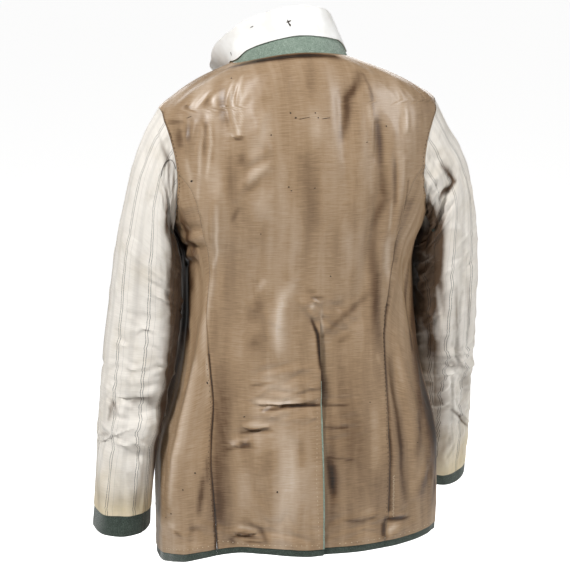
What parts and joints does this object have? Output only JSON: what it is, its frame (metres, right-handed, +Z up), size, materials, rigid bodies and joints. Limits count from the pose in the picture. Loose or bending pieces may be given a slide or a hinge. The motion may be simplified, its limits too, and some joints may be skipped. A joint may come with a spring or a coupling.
{
  "type": "military tunic",
  "caption": "Military tunic turned inside out and filled out as if worn, hollow and open at neck, front, cuffs and hem, with satin lining, striped sleeve lining and a white collar liner.",
  "frame": {"origin": "centre of the neckline, where the wearer's neck and shoulders hold the tunic up", "axes": "+Z up, +Y towards the back of the tunic, +X towards the wearer's left"},
  "size_m": [0.6354, 0.3307, 0.8245],
  "materials": {
    "lining": "worn brown satin with vertical sheen streaks",
    "sleeve_lining": "cream cotton satin with thin dark double stripes",
    "wool": "grey-green milled wool",
    "collar_wool": "green milled wool",
    "cotton": "white starched cotton",
    "button_metal": "pebbled matt grey metal"
  },
  "bodies": {
    "root": {"back": "lining", "side_left": "lining", "side_right": "lining", "front_left": "lining", "front_right": "lining", "hem_back_left": "wool", "hem_back_right": "wool", "hem_side_left": "wool", "hem_side_right": "wool", "hem_front_left": "wool", "hem_front_right": "wool", "sleeve_top_left": "sleeve_lining", "sleeve_under_left": "sleeve_lining", "sleeve_top_right": "sleeve_lining", "sleeve_under_right": "sleeve_lining", "cuff_left": "wool", "cuff_right": "wool", "collar": "collar_wool", "collar_liner": "cotton", "button_1": "button_metal", "button_2": "button_metal", "button_3": "button_metal", "button_4": "button_metal", "button_5": "button_metal"}
  },
  "joints": []
}
